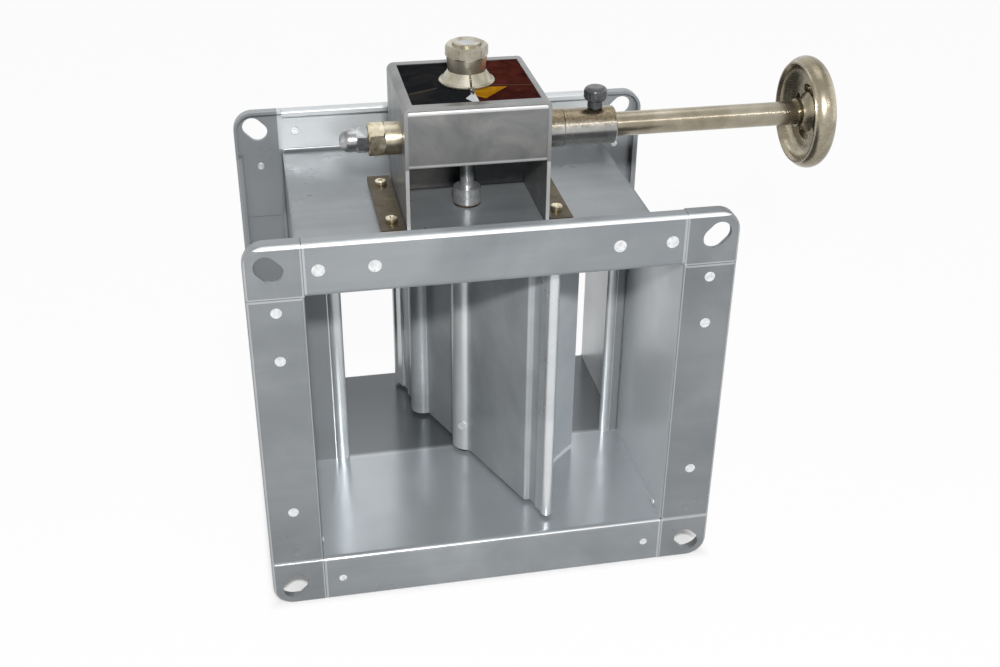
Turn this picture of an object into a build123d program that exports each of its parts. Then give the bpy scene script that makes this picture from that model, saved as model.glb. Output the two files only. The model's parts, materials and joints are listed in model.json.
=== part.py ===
from build123d import *
import math
import os

# Rectangular volume damper with a single butterfly blade on a vertical shaft,
# turned by a worm gear operator with a handwheel on the right.
# Millimetres. X runs across the duct towards the handwheel, Y runs along the
# airway from the front flange to the rear one, Z is up. The origin is the
# centre of the front flange face.

# Casing
duct_width = 200.0
duct_height = 170.0
duct_length = 195.0
sheet = 1.2
flange = 30.0
lip_depth = 8.5
lip_hem = 3.0
lip_bend = 2.2
duct_bend = 2.6
hem_bend = 1.1

# Corner plates of the flanges
corner_sheet = 1.5
corner_radius = 12.0
corner_arm = 42.0
corner_arm_inset = 3.5
corner_slot_width = 12.0
corner_slot_length = 16.5
corner_slot_margin = 13.0
corner_gap = 0.15
corner_edge = 2.6
corner_bevel = 0.3

# Flange rivets, and the clinch dimples that take their place low on the side rails
top_rivet_head = 6.8
side_rivet_head = 5.8
bottom_rivet_head = 4.4
rivet_shank_share = 0.58
rivet_tail_share = 0.8
rivet_head_depth = 0.7
rivet_tail_height = 0.8
rivet_near = 7.5
rivet_far = 36.0
bottom_rivet_near = 10.0
dimple_outer = 4.8
dimple_inner = 3.0
dimple_depth = 0.5

# Blade, drawn closed along X and then turned to the rest angle
blade_reach = 91.0
blade_clearance = 2.5
blade_sheet = 1.2
blade_flat_offset = 3.6
blade_flat_reach = 70.0
blade_step = 1.2
blade_bend = 1.0
edge_clip_radius = 3.4
edge_clip_leg = 8.0
edge_clip_sheet = 1.2
skin_edge_gap = 1.2
stiffening_bead_radius = 8.0
stiffening_bead_place = -50.0
stiffening_bead_sink = 0.5
bead_foot = 0.8
shaft_hump_foot = 5.0
blade_open_angle = 67.7

# Vane on the back of the blade
vane_root = 57.0
vane_foot = 12.0
vane_length = 54.0
vane_angle = 111.4
vane_bend = 2.0
vane_rivet_heights = (-60.0, -20.0, 20.0, 60.0)
small_rivet = 3.2
small_rivet_head = 5.6
small_rivet_height = 1.0

# Blade shaft and its bushes
shaft_diameter = 12.0
shaft_core = 17.0
shaft_tail = 8.0
running_gap = 0.05
bush_outer = 15.6
bush_flange = 26.0
bush_flange_height = 1.6
circlip_outer = 17.0
circlip_height = 1.0
circlip_groove = 0.6
blade_pin_diameter = 4.0
blade_pin_head = 6.0
blade_pin_seat = 0.35
blade_pin_height = 64.0
blade_pin_turn = 40.0

# Stops that the closed blade meets
stop_sheet = 1.2
stop_leg = 22.0
stop_bend = 1.5
stop_nose_depth = 3.8
left_stop_nose = 8.2
left_stop_reach = 24.0
right_stop_nose = 6.6
right_stop_reach = 12.5
stop_rivet_heights = (-62.0, 0.0, 62.0)
stop_rivet_setback = 16.0

# Coupling between the blade shaft and the operator's spindle
coupling_outer = 16.0
coupling_height = 10.5
coupling_gap = 0.3
coupling_split = 5.0
coupling_foot_round = 1.5
coupling_bevel = 0.5
set_screw = 4.0
set_screw_share = 0.72
spindle_diameter = 8.0

# Operator housing
box_width = 80.0
box_depth = 76.0
box_height = 73.4
box_sheet = 2.0
box_bend = 3.0
foot_width = 14.0
foot_strip_thickness = 2.0
foot_screw_pitch = 52.0
foot_screw_inset = 7.0
foot_screw_hole = 4.2
foot_screw_head = 7.6
foot_screw_head_height = 2.6
foot_screw_reach = 1.0
sign_margin = 5.0
sign_thickness = 0.6
sign_recess = 0.9
cover_height = 35.0
cover_sheet = 1.5
cover_lip = 6.0
cover_inset = 0.4
cover_bend = 1.2
cover_corner = 2.2
foot_strip_gap = 0.9
inner_wall_setback = 22.0
inner_wall_foot = 9.0
inner_wall_rise = 6.0
top_bush_length = 6.0

# Worm gear
gear_module = 1.0
gear_teeth = 20
gear_width = 10.0
worm_pitch_radius = 6.0
worm_height = 49.0
worm_length = 26.0
worm_gap = 0.15
worm_journal_left = 8.0
worm_journal_right = 10.0
worm_shank = 14.0
journal_gap = 0.3
wheel_hub_outer = 15.0
wheel_hub_height = 16.0
tooth_depth = 2.0
tooth_foot_share = 0.30
tooth_tip_share = 0.14
tooth_sink = 0.3
thread_foot_share = 0.42
thread_crest_share = 0.18

# Left bearing with its end play adjuster
left_boss_outer = 18.0
left_boss_reach = 8.5
boss_flange = 24.0
boss_flange_height = 2.0
adjuster_diameter = 8.0
end_play = 0.2
lock_nut_flats = 17.0
lock_nut_height = 9.0
dome_flats = 13.0
dome_height = 15.5
dome_collar = 6.5
dome_crown = 12.6
dome_round_share = 0.9
dome_thread = 6.0

# Right bearing, sleeve and lock screw
ring_outer = 21.6
ring_reach = 10.5
sleeve_outer = 21.0
sleeve_length = 30.0
sleeve_bevel = 0.5
rod_diameter = 13.5
sleeve_gap = 0.06
lock_screw_place = 19.0
lock_screw_diameter = 6.0
lock_screw_gap = 0.3
lock_knob_outer = 13.0
lock_knob_height = 8.0
lock_neck = 8.4
lock_neck_height = 4.0
lock_knob_edge = 2.8
lock_knob_flute = 1.5
lock_knob_flute_depth = 0.3
lock_knob_flutes = 18

# Handwheel
rod_reach = 138.5
rod_start = 1.5
hub_length = 13.0
spigot_diameter = 10.0
wheel_diameter = 64.0
wheel_depth = 12.6
wheel_lip = 57.4
wheel_lip_edge = 1.0
wheel_lip_round = 0.8
bowl_mouth = 53.2
bowl_floor = 39.0
bowl_swell = 48.5
bowl_depth = 7.0
collar_outer = 16.2
collar_length = 0.9
collar_groove = 0.3
boss_neck = 15.0
boss_swell = 18.0
boss_foot = 23.0
back_rim = 50.0
back_floor = 42.6
back_boss = 20.0
back_depth = 2.6
pocket_inner = 23.0
pocket_outer = 32.0
pocket_depth = 2.2
pockets = 4
pocket_angle = 40.0
wheel_nut_flats = 13.0
wheel_nut_height = 5.0
wheel_thread = 6.0
wheel_thread_proud = 1.5

# Position hub on the operator's top
hub_disc_height = 1.2
hub_disc_edge = 0.5
hub_skirt_outer = 31.0
hub_skirt_shoulder = 28.4
hub_skirt_height = 6.5
hub_neck = 21.0
hub_neck_height = 7.5
hub_neck_flare = 22.4
hub_gap = 0.4
hub_slit = 1.2
hub_slit_depth = 4.0
hub_slit_top = 9.0
top_nut_flats = 21.5
top_nut_height = 6.8
top_nut_round = 3.0
top_boss = 16.0
top_boss_height = 1.4
top_boss_wall = 1.6
pointer_root = 2.0
pointer_length = 10.0
pointer_width = 4.5
pointer_thickness = 1.0

# Places worked out from the sizes above
half_w = duct_width / 2
half_h = duct_height / 2
axis_y = duct_length / 2
outer_h = half_h + flange
roof = half_h + sheet
blade_half_height = half_h - blade_clearance
box_floor = roof
box_top = box_floor + box_height
box_front = axis_y - box_depth / 2
box_back = axis_y + box_depth / 2
wheel_radius = gear_module * gear_teeth / 2
worm_y = axis_y - wheel_radius - worm_pitch_radius
worm_z = roof + worm_height
spindle_bottom = roof + coupling_gap + coupling_split
skirt_bottom = box_top + hub_gap
neck_top = skirt_bottom + hub_skirt_height + hub_neck_height
nut_top = neck_top + top_nut_height


def block(x0, x1, y0, y1, z0, z1):
    """A box between two corners."""
    centre = ((x0 + x1) / 2, (y0 + y1) / 2, (z0 + z1) / 2)
    return Pos(*centre) * Box(x1 - x0, y1 - y0, z1 - z0)


def post(diameter, x, y, z0, z1):
    """An upright round bar."""
    return Pos(x, y, (z0 + z1) / 2) * Cylinder(diameter / 2, z1 - z0)


def bar_x(diameter, x0, x1, y=None, z=None):
    """A round bar along X, on the worm's axis unless told otherwise."""
    y = worm_y if y is None else y
    z = worm_z if z is None else z
    return Pos((x0 + x1) / 2, y, z) * Rot(0, 90, 0) * Cylinder(diameter / 2, x1 - x0)


def bar_y(diameter, x, y0, y1, z):
    """A round bar along Y."""
    return Pos(x, (y0 + y1) / 2, z) * Rot(90, 0, 0) * Cylinder(diameter / 2, y1 - y0)


def hexagon_z(flats, x, y, z0, z1, corner_round=0):
    """An upright hexagon bar with its corners turned off at both ends."""
    corner = flats / math.sqrt(3)
    outline = RegularPolygon(corner, 6)
    if corner_round:
        outline = fillet(outline.vertices(), corner_round)
    prism = extrude(outline, z1 - z0)
    cone = Cylinder(corner, z1 - z0, align=(Align.CENTER, Align.CENTER, Align.MIN))
    cone = chamfer(cone.edges().filter_by(GeomType.CIRCLE), (corner - flats / 2) * 0.9)
    return Pos(x, y, z0) * (prism & cone)


def lay_x(shape, x0):
    """Turn a shape built up +Z from the origin so that it runs along +X on the worm's axis."""
    return Pos(x0, worm_y, worm_z) * Rot(0, 90, 0) * shape


def strip(points, bend, thickness):
    """The section of a folded sheet that follows a centre line."""
    return trace(FilletPolyline(*points, radius=bend), line_width=thickness)


# Casing panels

def panel(wall_offset, rail_half, wall_half):
    """A duct wall with a flange rail folded up at each end, drawn as the top one."""
    t = sheet / 2
    wall = wall_offset + t
    crest = wall_offset + flange - t
    tip = crest - lip_hem
    front = [(lip_depth - t, tip), (lip_depth - t, crest), (t, crest), (t, wall)]
    rear = [(duct_length - y, z) for y, z in reversed(front)]
    bends = [hem_bend, lip_bend, duct_bend, duct_bend, lip_bend, hem_bend]
    rails = extrude(Plane.YZ * strip(front + rear, bends, sheet), rail_half, both=True)
    if wall_half > rail_half:
        inset = sheet + duct_bend
        y1 = duct_length - inset
        rails += block(-wall_half, wall_half, inset, y1, wall_offset, wall_offset + sheet)
    return rails


def flange_rivet_places(far_too):
    """Rivets on one flange as (x, z, head diameter). Only the front flange has the far ones."""
    side_x = half_w + flange / 2
    places = []
    for side in (-1, 1):
        places.append((side * (half_w - rivet_near), half_h + flange / 2, top_rivet_head))
        places.append((side * side_x, half_h - rivet_near, side_rivet_head))
        bottom_x = side * (half_w - bottom_rivet_near)
        places.append((bottom_x, -half_h - flange / 2, bottom_rivet_head))
        if far_too:
            places.append((side * (half_w - rivet_far), half_h + flange / 2, top_rivet_head))
            places.append((side * side_x, half_h - rivet_far, side_rivet_head))
            places.append((side * side_x, rivet_far - half_h, side_rivet_head))
    return places


def rivet_head_cone(x, z, head):
    """The cone of a flush head, its wide end in the mating face of the front flange."""
    cone = Cone(head * rivet_shank_share / 2, head / 2, rivet_head_depth)
    return Pos(x, rivet_head_depth / 2, z) * Rot(90, 0, 0) * cone


def to_rear(shape):
    """The same thing at the rear flange."""
    return Pos(0, duct_length, 0) * mirror(shape, about=Plane.XZ)


def rivet_holes():
    """What cuts the countersunk rivet holes and the clinch dimples of both flanges."""
    reach = sheet + corner_sheet + 1
    holes = []
    for far_too in (True, False):
        for x, z, head in flange_rivet_places(far_too):
            hole = bar_y(head * rivet_shank_share, x, -1, reach, z)
            hole += rivet_head_cone(x, z, head)
            holes.append(hole if far_too else to_rear(hole))
    for side in (-1, 1):
        cone = Cone(dimple_inner / 2, dimple_outer / 2, dimple_depth)
        place = Pos(side * (half_w + flange / 2), dimple_depth / 2, rivet_near - half_h)
        dimple = place * Rot(90, 0, 0) * cone
        holes += [dimple, to_rear(dimple)]
    return holes


def foot_screw_places():
    """Centres of the operator's foot screws, as (x, y) pairs."""
    reach = box_width / 2 + foot_screw_inset
    pitch = foot_screw_pitch / 2
    return [(sx * reach, axis_y + sy * pitch) for sx in (-1, 1) for sy in (-1, 1)]


def stop_rivet_y(side):
    """Where the stop on one side is riveted to its wall: -1 left, 1 right."""
    return axis_y + side * stop_rivet_setback


def casing_panels():
    top = panel(half_h, half_w, half_w)
    side = panel(half_w, half_h, half_h + sheet)
    panels = {
        "top_panel": top,
        "bottom_panel": Rot(0, 180, 0) * top,
        "right_panel": Rot(0, 90, 0) * side,
        "left_panel": Rot(0, -90, 0) * side,
    }
    bush_hole = post(bush_outer, 0, axis_y, -outer_h, outer_h)
    for name in ("top_panel", "bottom_panel"):
        panels[name] -= bush_hole
    for x, y in foot_screw_places():
        panels["top_panel"] -= post(foot_screw_hole, x, y, half_h - 1, roof + 1)
    for name, side_sign in (("left_panel", -1), ("right_panel", 1)):
        y = stop_rivet_y(side_sign)
        for z in stop_rivet_heights:
            x = side_sign * half_w
            panels[name] -= bar_x(small_rivet, x - 5, x + 5, y, z)
    holes = rivet_holes()
    for name in panels:
        panels[name] -= holes
    return panels


# Corner plates

def corner_plate():
    """The top right front corner plate, flush with the rails, with its arms behind them.

    It is drawn from the corner of the opening, with the mating face at Z 0.
    """
    low = corner_gap
    side = flange - low
    square = Pos(low + side / 2, low + side / 2) * Rectangle(side, side)
    outer = square.vertices().sort_by(Axis.X)[-2:].sort_by(Axis.Y)[-1]
    square = fillet(outer, corner_radius)
    pad = extrude(square, lip_depth)
    rims = pad.edges().group_by(Axis.Z)[0]
    pad = fillet([e for e in rims if (e @ 0.5).X + (e @ 0.5).Y > flange + low], corner_edge)
    rims = pad.edges().group_by(Axis.Z)[0]
    pad = chamfer([e for e in rims if min((e @ 0.5).X, (e @ 0.5).Y) < low + 0.01], corner_bevel)
    thick = sheet + corner_sheet
    room = Pos(side / 2 - corner_sheet, side / 2 - corner_sheet) * Rectangle(side, side)
    room_corner = room.vertices().sort_by(Axis.X)[-2:].sort_by(Axis.Y)[-1]
    room = fillet(room_corner, corner_radius - corner_sheet)
    pad -= Pos(0, 0, thick) * extrude(room, lip_depth)
    arm_width = flange - 2 * corner_arm_inset
    reach = corner_arm + flange / 2
    arms = Pos(flange / 2 - reach / 2, flange / 2) * Rectangle(reach, arm_width)
    arms += Pos(flange / 2, flange / 2 - reach / 2) * Rectangle(arm_width, reach)
    middle = flange - corner_slot_margin
    slot = Rot(0, 0, 45) * SlotOverall(corner_slot_length, corner_slot_width)
    solid = pad + Pos(0, 0, sheet) * extrude(arms, corner_sheet)
    return solid - Pos(middle, middle, -1) * extrude(slot, lip_depth)


def corner_plates():
    """All eight, each set behind the rails of its flange."""
    # The plate is drawn in X and Y with its depth along Z, then stood up to face -Y.
    upright = Rot(90, 0, 0) * corner_plate()
    upright = mirror(upright, about=Plane.XZ)
    front = Pos(half_w, 0, half_h) * upright
    rear = to_rear(front)
    plates = {}
    for end, plate in (("front", front), ("rear", rear)):
        low = mirror(plate, about=Plane.XY)
        plates[end + "_top_right_corner"] = plate
        plates[end + "_top_left_corner"] = mirror(plate, about=Plane.YZ)
        plates[end + "_bottom_right_corner"] = low
        plates[end + "_bottom_left_corner"] = mirror(low, about=Plane.YZ)
    holes = rivet_holes()
    for name in plates:
        plates[name] -= holes
    return plates


def flange_rivets():
    """The rivets of each flange, with heads flush in the mating face."""
    grip = sheet + corner_sheet
    flanges = []
    for far_too in (True, False):
        rivets = []
        for x, z, head in flange_rivet_places(far_too):
            shank = bar_y(head * rivet_shank_share, x, 0, grip, z)
            tail = bar_y(head * rivet_tail_share, x, grip, grip + rivet_tail_height, z)
            tail = chamfer(tail.edges().sort_by(Axis.Y)[-1], rivet_tail_height / 2)
            rivets.append(rivet_head_cone(x, z, head) + shank + tail)
        flanges.append(Compound(rivets))
    return {"front_flange_rivets": flanges[0], "rear_flange_rivets": to_rear(flanges[1])}


# Stops

def stop(reach, nose):
    """A folded strip on the right wall: a web on the shaft's plane with its edge rolled flat."""
    wall_line = half_w - stop_sheet / 2
    nose_x = half_w - reach + nose / 2
    roll = Ellipse(nose / 2, stop_nose_depth / 2)
    roll -= Ellipse(nose / 2 - stop_sheet, stop_nose_depth / 2 - stop_sheet)
    web_start = nose_x + nose / 2 - stop_sheet
    web = [(web_start, 0), (wall_line, 0), (wall_line, stop_leg)]
    section = strip(web, stop_bend, stop_sheet) + Pos(nose_x, 0) * roll
    return Pos(0, axis_y, 0) * extrude(section, half_h, both=True)


def stops():
    right = stop(right_stop_reach, right_stop_nose)
    left = Pos(0, axis_y, 0) * Rot(0, 0, 180) * Pos(0, -axis_y, 0)
    left = left * stop(left_stop_reach, left_stop_nose)
    rivets = []
    for side in (-1, 1):
        y = stop_rivet_y(side)
        for z in stop_rivet_heights:
            inside = side * (half_w - stop_sheet)
            outside = side * (half_w + sheet)
            hole = bar_x(small_rivet, half_w * side - 5, half_w * side + 5, y, z)
            if side < 0:
                left -= hole
            else:
                right -= hole
            ends = sorted((inside, outside))
            rivet = bar_x(small_rivet, ends[0], ends[1], y, z)
            for face, way in ((inside, -side), (outside, side)):
                tip = face + way * small_rivet_height
                rivet += bar_x(small_rivet_head, min(face, tip), max(face, tip), y, z)
            rivets.append(rivet)
    return {"left_stop": left, "right_stop": right, "stop_rivets": Compound(rivets)}


# Blade

def turned(shape):
    """Put what is drawn about the shaft, closed along X, at the rest angle on the shaft."""
    return Pos(0, axis_y, 0) * Rot(0, 0, -blade_open_angle) * shape


def ease_feet(section, centre, reach, level, radius):
    """Round the hollow corners where a round form rises from the sheet."""
    feet = []
    for v in section.vertices():
        if abs(abs(v.X - centre) - reach) < 0.02 and abs(v.Y - level) < 0.02:
            feet.append(v)
    return fillet(feet, radius)


def skin_section(bead):
    """The section of the front skin of the closed blade."""
    lap = blade_sheet / 2
    edge = blade_reach - edge_clip_radius - skin_edge_gap
    flat = blade_flat_reach
    toe = flat + blade_step
    half = [(edge, -lap), (toe, -lap), (flat, -blade_flat_offset)]
    path = half + [(-x, y) for x, y in reversed(half)]
    section = strip(path, blade_bend, blade_sheet)
    core = shaft_core / 2 + running_gap
    hump = core + blade_sheet
    outer_face = -blade_flat_offset - blade_sheet / 2
    inner_face = outer_face + blade_sheet
    below = Pos(0, inner_face - hump) * Rectangle(4 * hump, 2 * hump)
    section += Circle(hump) & below
    hump_reach = math.sqrt(hump ** 2 - outer_face ** 2)
    section = ease_feet(section, 0, hump_reach, outer_face, shaft_hump_foot)
    if bead:
        radius = stiffening_bead_radius
        place = stiffening_bead_place
        centre = Pos(place, outer_face + stiffening_bead_sink)
        below = Pos(place, inner_face - radius) * Rectangle(4 * radius, 2 * radius)
        section += (centre * Circle(radius)) & below
        bead_reach = math.sqrt(radius ** 2 - stiffening_bead_sink ** 2)
        section = ease_feet(section, place, bead_reach, outer_face, bead_foot)
        section -= centre * Circle(radius - blade_sheet)
    return section - Circle(core)


def edge_clip_section():
    """The section of the rolled clip on the blade's edge at +X."""
    centre = blade_reach - edge_clip_radius
    leg_outer = blade_sheet + edge_clip_sheet
    leg = Pos(centre - edge_clip_leg / 2, 0)
    outer = Pos(centre, 0) * Circle(edge_clip_radius)
    outer += leg * Rectangle(edge_clip_leg, 2 * leg_outer)
    inner = Pos(centre, 0) * Circle(edge_clip_radius - edge_clip_sheet)
    inner += leg * Rectangle(edge_clip_leg + 1, 2 * blade_sheet)
    return outer - inner


def blade_pins():
    """Pins through both skins and the shaft."""
    reach = shaft_core / 2 + running_gap + blade_sheet
    pins = []
    holes = []
    for z in (-blade_pin_height, blade_pin_height):
        hole = bar_y(blade_pin_diameter, 0, -reach - 1, reach + 1, z)
        pin = bar_y(blade_pin_diameter, 0, -reach, reach, z)
        for side in (-1, 1):
            tip = side * (reach + small_rivet_height)
            face = side * (reach - blade_pin_seat)
            pin += bar_y(blade_pin_head, 0, min(face, tip), max(face, tip), z)
        holes.append(Rot(0, 0, blade_pin_turn) * hole)
        pins.append(Rot(0, 0, blade_pin_turn) * pin)
    return pins, holes


def blade_parts():
    tall = blade_half_height
    front_skin = extrude(skin_section(True), tall, both=True)
    back_skin = Rot(0, 0, 180) * extrude(skin_section(False), tall, both=True)
    pins, holes = blade_pins()
    shaft = post(shaft_diameter, 0, 0, -roof - shaft_tail, spindle_bottom)
    shaft += post(shaft_core, 0, 0, -tall, tall)
    groove_z = -roof - 2 * bush_flange_height - circlip_height
    groove_outer = Cylinder(shaft_diameter, circlip_height)
    groove_inner = Cylinder(shaft_diameter / 2 - circlip_groove, circlip_height)
    shaft -= Pos(0, 0, groove_z + circlip_height / 2) * (groove_outer - groove_inner)
    for hole in holes:
        shaft -= hole
    for pin in pins:
        front_skin -= pin
        back_skin -= pin
    face = blade_flat_offset + blade_sheet / 2
    t = blade_sheet / 2
    lean = math.radians(vane_angle)
    tip = (vane_root + vane_length * math.cos(lean), face + t + vane_length * math.sin(lean))
    path = [(vane_root + vane_foot, face + t), (vane_root, face + t), tip]
    vane = extrude(strip(path, vane_bend, blade_sheet), tall, both=True)
    rivets = []
    x = vane_root + vane_foot * 0.6
    inner_face = face - blade_sheet
    for z in vane_rivet_heights:
        hole = bar_y(small_rivet, x, 0, face + 5, z)
        back_skin -= hole
        vane -= hole
        rivet = bar_y(small_rivet, x, inner_face, face + blade_sheet, z)
        head_low = face + blade_sheet
        rivet += bar_y(small_rivet_head, x, head_low, head_low + small_rivet_height, z)
        rivet += bar_y(small_rivet * 1.4, x, inner_face - small_rivet_height, inner_face, z)
        rivets.append(rivet)
    clip = extrude(edge_clip_section(), tall, both=True)
    circlip = Cylinder(circlip_outer / 2, circlip_height)
    circlip -= Cylinder(shaft_diameter / 2 - circlip_groove, circlip_height)
    opening = Pos(0, -circlip_outer / 2, 0)
    circlip -= opening * Box(circlip_outer / 3, circlip_outer, circlip_height)
    circlip = Pos(0, 0, groove_z + circlip_height / 2) * circlip
    parts = {
        "blade_left_skin": front_skin,
        "blade_right_skin": back_skin,
        "blade_front_edge_clip": clip,
        "blade_rear_edge_clip": Rot(0, 0, 180) * clip,
        "guide_vane": vane,
        "vane_rivets": Compound(rivets),
        "blade_shaft": shaft,
        "blade_pins": Compound(pins),
        "shaft_circlip": circlip,
    }
    return {name: turned(shape) for name, shape in parts.items()}


def bushes():
    """Plain bushes that carry the shaft: the upper one's flange is inside, the lower one's below."""
    bore = shaft_diameter + 2 * running_gap
    thick = bush_flange_height
    upper = post(bush_outer, 0, axis_y, half_h, roof)
    upper += post(bush_flange, 0, axis_y, half_h - thick, half_h)
    upper -= post(bore, 0, axis_y, half_h - 5, roof + 5)
    lower = post(bush_outer, 0, axis_y, -roof, -half_h)
    lower += post(bush_flange, 0, axis_y, -roof - thick, -roof)
    lower -= post(bore, 0, axis_y, -roof - 5, -half_h + 5)
    washer = post(bush_flange, 0, axis_y, -roof - 2 * thick, -roof - thick)
    washer -= post(bore, 0, axis_y, -roof - 5, -roof)
    return {"upper_bush": upper, "lower_bush": lower, "thrust_washer": washer}


# Coupling, spindle and position hub

def position_hub():
    """The slit hub on the operator's top: a thin disc, a conical skirt and a neck."""
    disc = Pos(0, 0, hub_disc_height / 2) * Cylinder(hub_skirt_outer / 2, hub_disc_height)
    disc = chamfer(disc.edges().filter_by(GeomType.CIRCLE).sort_by(Axis.Z)[-1], hub_disc_edge)
    rise = hub_skirt_height - hub_disc_height
    cone = Cone(hub_skirt_shoulder / 2, hub_neck / 2, rise)
    neck = Cone(hub_neck / 2, hub_neck_flare / 2, hub_neck_height)
    height = hub_skirt_height + hub_neck_height
    hub = disc + Pos(0, 0, hub_disc_height + rise / 2) * cone
    hub += Pos(0, 0, hub_skirt_height + hub_neck_height / 2) * neck
    hub -= Pos(0, 0, height / 2) * Cylinder(spindle_diameter / 2, height + 2)
    hub -= block(-hub_slit / 2, hub_slit / 2, -hub_skirt_outer,
                 hub_slit_depth - hub_skirt_shoulder / 2, -1, hub_slit_top)
    return Pos(0, axis_y, skirt_bottom) * hub


def spindle_parts():
    low = roof + coupling_gap
    coupling = post(coupling_outer, 0, axis_y, low, low + coupling_height)
    rings = coupling.edges().filter_by(GeomType.CIRCLE).sort_by(Axis.Z)
    coupling = fillet(rings[0], coupling_foot_round)
    rings = coupling.edges().filter_by(GeomType.CIRCLE).sort_by(Axis.Z)
    coupling = chamfer(rings[-1], coupling_bevel)
    coupling -= post(shaft_diameter, 0, axis_y, low - 1, spindle_bottom)
    coupling -= post(spindle_diameter, 0, axis_y, spindle_bottom, low + coupling_height + 1)
    screw_z = low + coupling_height * set_screw_share
    screw = bar_y(set_screw, 0, axis_y + spindle_diameter / 2, axis_y + coupling_outer / 2, screw_z)
    coupling -= screw
    spindle = post(spindle_diameter, 0, axis_y, spindle_bottom, nut_top + top_boss_height * 0.5)
    top_bush_z = box_top - box_sheet
    bore = spindle_diameter + 2 * running_gap
    top_bush = post(bush_outer, 0, axis_y, top_bush_z - top_bush_length, top_bush_z)
    top_bush -= post(bore, 0, axis_y, top_bush_z - top_bush_length - 1, box_top)
    hub = position_hub()
    nut = hexagon_z(top_nut_flats, 0, axis_y, neck_top, nut_top, top_nut_round)
    boss_top = nut_top + top_boss_height
    nut += post(top_boss, 0, axis_y, nut_top, boss_top)
    dish = Cone(spindle_diameter / 2, top_boss / 2 - top_boss_wall, top_boss_height / 2)
    nut -= Pos(0, axis_y, boss_top - top_boss_height / 4) * dish
    nut -= post(spindle_diameter, 0, axis_y, neck_top - 1, boss_top + 1)
    root = pointer_root - hub_skirt_outer / 2
    arrow = Polyline((-pointer_width / 2, root), (pointer_width / 2, root),
                     (0, root - pointer_length), close=True)
    pointer = Pos(0, axis_y, skirt_bottom) * extrude(make_face(arrow), pointer_thickness) - hub
    return {
        "shaft_coupling": coupling,
        "coupling_set_screw": screw,
        "operator_spindle": spindle,
        "top_bush": top_bush,
        "position_hub": hub,
        "hub_nut": nut,
        "position_pointer": pointer,
    }


# Operator housing

def bracket():
    """The inverted U with its feet turned out."""
    t = box_sheet / 2
    leg = box_width / 2 - t
    foot = box_floor + t
    side = [(box_width / 2 + foot_width, foot), (leg, foot), (leg, box_top - t)]
    path = side + [(-x, z) for x, z in reversed(side)]
    section = strip(path, [box_sheet * 0.8, box_bend, box_bend, box_sheet * 0.8], box_sheet)
    solid = extrude(Plane.XZ.offset(-box_front) * section, -box_depth)
    inset = sign_margin
    solid -= block(-box_width / 2 + inset, box_width / 2 - inset, box_front + inset,
                   box_back - inset, box_top - sign_recess, box_top + 1)
    solid -= post(spindle_diameter + 2 * running_gap, 0, axis_y, box_top - 5, box_top + 1)
    solid -= bar_x(left_boss_outer, -box_width / 2 - 1, -box_width / 2 + box_sheet + 1)
    solid -= bar_x(left_boss_outer, box_width / 2 - box_sheet - 1, box_width / 2 + 1)
    for x, y in foot_screw_places():
        solid -= post(foot_screw_hole, x, y, box_floor - 1, box_floor + box_sheet + 1)
    return solid


def cover():
    """The front cover: a face with a lip folded in along its top and bottom."""
    t = cover_sheet / 2
    top = box_top - box_sheet - t
    bottom = box_top - cover_height
    face = box_front + cover_inset + t
    path = [(face + cover_lip, top), (face, top), (face, bottom + t),
            (face + cover_lip, bottom + t)]
    half = box_width / 2 - box_sheet
    solid = extrude(Plane.YZ * strip(path, cover_bend, cover_sheet), half, both=True)
    # The upper corners are rounded to lie in the bends of the bracket.
    ceiling = box_top - box_sheet
    height = cover_height + box_height
    outline = Pos(0, ceiling - height / 2) * Rectangle(2 * half, height)
    outline = fillet(outline.vertices().sort_by(Axis.Y)[-2:], cover_corner)
    return solid & extrude(Plane.XZ * outline, -2 * axis_y)


def housing_parts():
    shell = bracket()
    front = cover()
    rear = Pos(0, 2 * axis_y, 0) * mirror(front, about=Plane.XZ)
    half = box_width / 2 - box_sheet
    wall_y = axis_y + inner_wall_setback
    wall_low = box_floor + cover_sheet / 2
    wall_top = worm_z + inner_wall_rise
    wall_path = [(wall_y + inner_wall_foot, wall_low), (wall_y, wall_low), (wall_y, wall_top)]
    wall = extrude(Plane.YZ * strip(wall_path, cover_bend, cover_sheet), half, both=True)
    inset = sign_margin + 0.2
    sign_low = box_top - sign_recess
    sign = block(-box_width / 2 + inset, box_width / 2 - inset, box_front + inset,
                 box_back - inset, sign_low, sign_low + sign_thickness)
    sign -= post(spindle_diameter + 2, 0, axis_y, sign_low - 1, sign_low + 2)
    parts = {
        "operator_bracket": shell,
        "front_cover": front,
        "rear_cover": rear,
        "inner_wall": wall,
        "sign_plate": sign,
    }
    strip_low = box_floor + box_sheet
    for name, side in (("left_foot_strip", -1), ("right_foot_strip", 1)):
        root = box_width / 2 + foot_strip_gap
        ends = sorted((side * root, side * (box_width / 2 + foot_width)))
        bar = block(ends[0], ends[1], box_front, box_back, strip_low,
                    strip_low + foot_strip_thickness)
        for x, y in foot_screw_places():
            bar -= post(foot_screw_hole, x, y, box_floor, strip_low + 2 * foot_strip_thickness)
        parts[name] = bar
    screws = []
    head_low = strip_low + foot_strip_thickness
    for x, y in foot_screw_places():
        head = post(foot_screw_head, x, y, head_low, head_low + foot_screw_head_height)
        rim = head.edges().filter_by(GeomType.CIRCLE).sort_by(Axis.Z)[-1]
        head = fillet(rim, foot_screw_head_height * 0.6)
        shank = post(foot_screw_hole, x, y, half_h - foot_screw_reach, head_low)
        screws.append(head + shank)
    parts["foot_screws"] = Compound(screws)
    return parts


# Worm gear

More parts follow.
